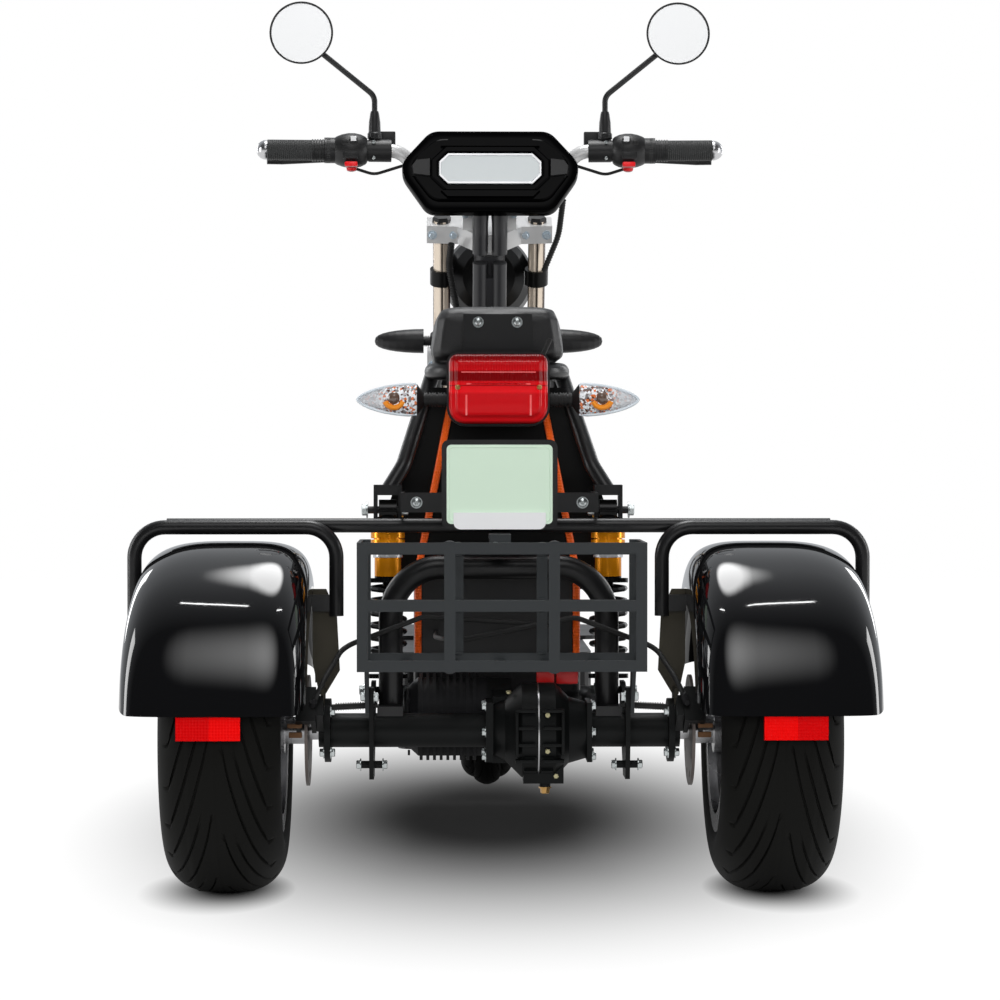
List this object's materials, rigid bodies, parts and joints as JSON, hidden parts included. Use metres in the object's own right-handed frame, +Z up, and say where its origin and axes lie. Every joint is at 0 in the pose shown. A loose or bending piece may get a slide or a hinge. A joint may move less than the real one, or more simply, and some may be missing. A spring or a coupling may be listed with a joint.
{
  "type": "three-wheeled electric scooter",
  "caption": "Electric trike scooter with wide fendered rear wheels on a driven axle, a steered front wheel, a bench seat, a rear basket and a tube guard rail.",
  "frame": {"origin": "middle of the vehicle's length and width, on the floor that the wheels stand on", "axes": "+Y forward, +X to the rider's right, +Z up"},
  "size_m": [0.9812, 1.7419, 1.3007],
  "materials": {
    "black_paint": "semi-gloss black powder coat",
    "frame_grey": "satin dark grey paint",
    "gloss_black": "high gloss black",
    "matte_black": "moulded black plastic",
    "rubber": "black rubber",
    "tyre": "black tyre rubber",
    "alloy": "cast and machined alloy",
    "dark_alloy": "dark cast alloy",
    "stanchion": "bright hard chrome",
    "disc_steel": "ground steel",
    "leather": "black grained leather",
    "red_lens": "red moulded lens",
    "red_reflector": "red prismatic reflector",
    "clear_lens": "clear moulded lens",
    "mirror": "silvered glass",
    "orange_metal": "orange gold anodised",
    "spring_black": "black coated spring steel",
    "orange_plastic": "orange corrugated conduit",
    "stay_olive": "textured dark olive-brown coat",
    "plate_pale": "blank pale green plate",
    "screen": "silver-grey display glass"
  },
  "bodies": {
    "chassis": {"main_tubes": "frame_grey", "deck_box": "matte_black", "footboard": "matte_black", "seat_frame": "black_paint", "seat": "leather", "controller_box": "matte_black", "tail_bracket": "black_paint", "tail_lamp": "matte_black", "tail_lens": "red_lens", "rear_indicators": "rubber", "rear_indicator_lenses": "clear_lens", "plate_bracket": "black_paint", "plate_holder": "matte_black", "number_plate": "plate_pale", "axle_beam": "black_paint", "differential": "black_paint", "motor": "dark_alloy", "swing_arm": "black_paint", "shocks": "orange_metal", "shock_springs": "spring_black", "guard_rail": "black_paint", "fender_hoops": "black_paint", "fenders": "gloss_black", "fender_stays": "stay_olive", "reflectors": "red_reflector", "basket": "frame_grey", "rear_calipers": "dark_alloy", "power_conduits": "orange_plastic", "brake_hoses": "rubber"},
    "steering": {"triple_clamps": "alloy", "fork_stanchions": "stanchion", "fork_sliders": "dark_alloy", "handlebar": "alloy", "grips": "rubber", "bar_ends": "alloy", "switch_pods": "matte_black", "brake_levers": "matte_black", "mirrors": "matte_black", "mirror_glass": "mirror", "dash_housing": "gloss_black", "dash_screen": "screen", "headlamp": "gloss_black", "headlamp_lens": "clear_lens", "front_indicators": "matte_black", "front_fender": "gloss_black", "front_caliper": "dark_alloy"},
    "front_wheel": {"front_tyre": "tyre", "front_rim": "alloy", "front_disc": "disc_steel"},
    "rear_wheel_left": {"left_tyre": "tyre", "left_rim": "alloy", "left_disc": "disc_steel"},
    "rear_wheel_right": {"right_tyre": "tyre", "right_rim": "alloy", "right_disc": "disc_steel"}
  },
  "joints": [
    {"name": "steering_turn", "type": "hinge", "parent": "chassis", "child": "steering", "pos_m": [0, 0.61975, 0.19809], "axis": [0, -0.4226, 0.9063], "range_deg": [-35, 35]},
    {"name": "front_wheel_spin", "type": "hinge", "parent": "steering", "child": "front_wheel", "pos_m": [0, 0.656, 0.215], "axis": [-1, 0, 0], "continuous": true},
    {"name": "rear_left_spin", "type": "hinge", "parent": "chassis", "child": "rear_wheel_left", "pos_m": [-0.358, -0.624, 0.212], "axis": [-1, 0, 0], "continuous": true},
    {"name": "rear_right_spin", "type": "hinge", "parent": "chassis", "child": "rear_wheel_right", "pos_m": [0.358, -0.624, 0.212], "axis": [-1, 0, 0], "continuous": true}
  ]
}
